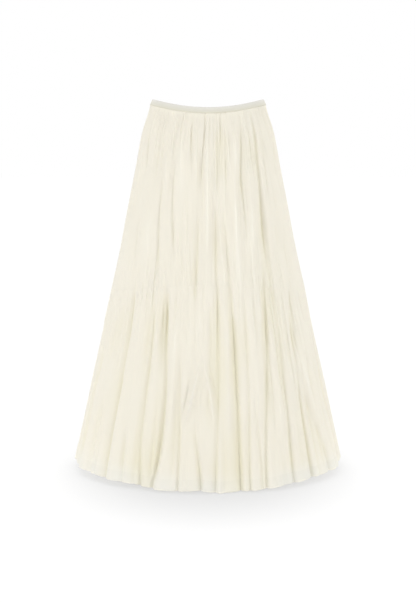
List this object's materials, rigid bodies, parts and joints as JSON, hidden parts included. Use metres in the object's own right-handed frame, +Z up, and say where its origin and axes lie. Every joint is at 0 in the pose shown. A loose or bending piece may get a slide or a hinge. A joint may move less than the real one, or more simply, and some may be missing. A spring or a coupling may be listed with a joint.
{
  "type": "tiered maxi skirt",
  "caption": "Long cream skirt of gathered, softly folded tiers on a narrow elastic waistband over a plain lining, hollow as worn.",
  "frame": {"origin": "middle of the waist opening, level with the waistband's top edge at the side seams", "axes": "+Z up along the length, -Y out of the front, +X to the wearer's left"},
  "size_m": [0.651, 0.5478, 0.8788],
  "materials": {
    "elastic": "matt woven elastic, greyish off-white",
    "cloth": "light crinkled chiffon, cream, soft matt, a little see-through",
    "lining": "plain smooth cream lining"
  },
  "bodies": {
    "root": {"waistband": "elastic", "upper_front": "cloth", "upper_back": "cloth", "lower_front": "cloth", "lower_back": "cloth", "lining_front": "lining", "lining_back": "lining"}
  },
  "joints": []
}
